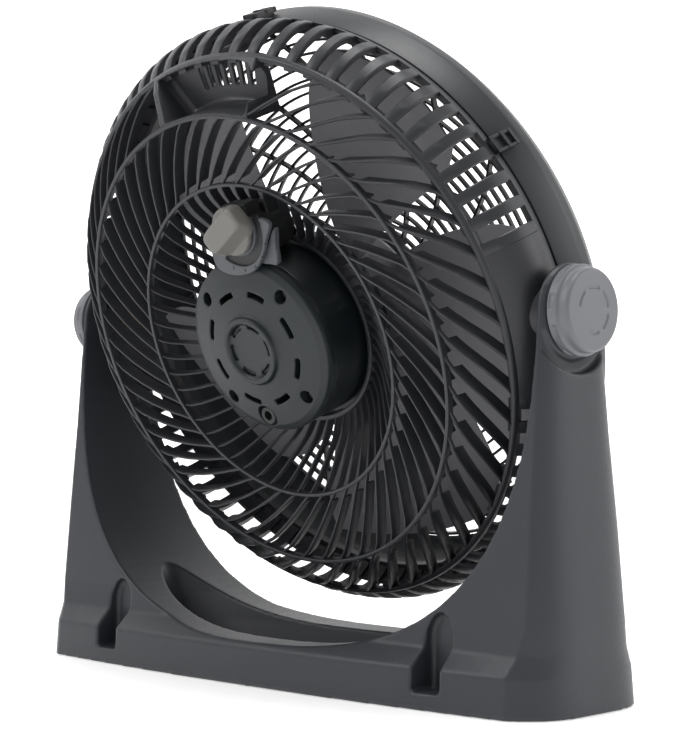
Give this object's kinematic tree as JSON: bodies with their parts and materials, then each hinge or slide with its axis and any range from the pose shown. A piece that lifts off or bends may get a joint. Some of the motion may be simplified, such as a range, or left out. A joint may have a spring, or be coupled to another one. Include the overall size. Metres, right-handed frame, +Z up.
{
  "type": "pivoting floor fan",
  "caption": "Round pivoting floor fan: guarded fan head with motor, swept impeller and speed knob, tilting between the arms of a U-shaped floor stand.",
  "frame": {"origin": "on the floor, straight under the middle of the tilt pivot", "axes": "+X along the tilt pivot (to the left in a view from the rear), +Y to the rear where the motor cap and the switch are, -Y the air outlet side, +Z up"},
  "size_m": [0.449, 0.2215, 0.4277],
  "materials": {
    "stand_plastic": "fine moulded texture, satin",
    "guard_plastic": "satin moulded plastic",
    "black_plastic": "matt",
    "rubber": "matt",
    "knob_plastic_mid": "satin",
    "knob_plastic_light": "satin",
    "pod_plastic": "satin",
    "motor_cap_plastic": "semi-gloss",
    "motor_barrel_paint": "semi-gloss enamel",
    "impeller_plastic": "satin",
    "steel": "turned and zinc plated",
    "brass": "machined",
    "enamelled_copper": "varnished enamelled copper winding"
  },
  "bodies": {
    "stand": {"stand_shell": "stand_plastic", "stand_bottom_cover": "black_plastic", "cover_screw_1": "steel", "cover_screw_2": "steel", "cover_screw_3": "steel", "cover_screw_4": "steel", "rubber_foot_1": "rubber", "rubber_foot_2": "rubber", "rubber_foot_3": "rubber", "rubber_foot_4": "rubber", "pivot_washer_left": "rubber", "pivot_washer_right": "rubber"},
    "head": {"rear_grille": "guard_plastic", "front_ring": "guard_plastic", "front_grille": "guard_plastic", "front_centre_cap": "knob_plastic_mid", "grille_clip_1": "guard_plastic", "grille_clip_2": "guard_plastic", "grille_clip_3": "guard_plastic", "grille_clip_4": "guard_plastic", "grille_clip_5": "guard_plastic", "grille_clip_6": "guard_plastic", "motor_rear_cap": "motor_cap_plastic", "motor_barrel": "motor_barrel_paint", "motor_front_plate": "steel", "motor_stator": "steel", "stator_winding_front": "enamelled_copper", "stator_winding_rear": "enamelled_copper", "motor_bearing_front": "steel", "motor_bearing_rear": "steel", "motor_screw_1": "steel", "motor_screw_2": "steel", "motor_screw_3": "steel", "motor_screw_4": "steel", "cord_gland": "black_plastic", "switch_pod": "pod_plastic", "rotary_switch": "black_plastic", "run_capacitor": "black_plastic", "pivot_insert_left": "brass", "pivot_insert_right": "brass"},
    "impeller": {"impeller": "impeller_plastic", "impeller_nut": "brass", "motor_shaft": "steel", "motor_rotor": "steel"},
    "speed_knob": {"speed_knob": "knob_plastic_light"},
    "tilt_knob_left": {"tilt_knob_left": "knob_plastic_mid", "clamp_bolt_left": "steel"},
    "tilt_knob_right": {"tilt_knob_right": "knob_plastic_mid", "clamp_bolt_right": "steel"}
  },
  "joints": [
    {"name": "head_tilt", "type": "hinge", "parent": "stand", "child": "head", "pos_m": [0, 0, 0.232], "axis": [-1, 0, 0], "range_deg": [-20.5, 69.5]},
    {"name": "impeller_spin", "type": "hinge", "parent": "head", "child": "impeller", "pos_m": [0, 0, 0.232], "axis": [0, 0.9367, -0.3502], "continuous": true},
    {"name": "speed_knob_turn", "type": "hinge", "parent": "head", "child": "speed_knob", "pos_m": [-0.012, 0.02732, 0.30506], "axis": [0, 0.9367, -0.3502], "range_deg": [-15, 105]},
    {"name": "tilt_knob_left_turn", "type": "hinge", "parent": "stand", "child": "tilt_knob_left", "pos_m": [-0.21, 0, 0.232], "axis": [-1, 0, 0], "range_deg": [0, 180]},
    {"name": "tilt_knob_right_turn", "type": "hinge", "parent": "stand", "child": "tilt_knob_right", "pos_m": [0.21, 0, 0.232], "axis": [1, 0, 0], "range_deg": [0, 180]}
  ]
}
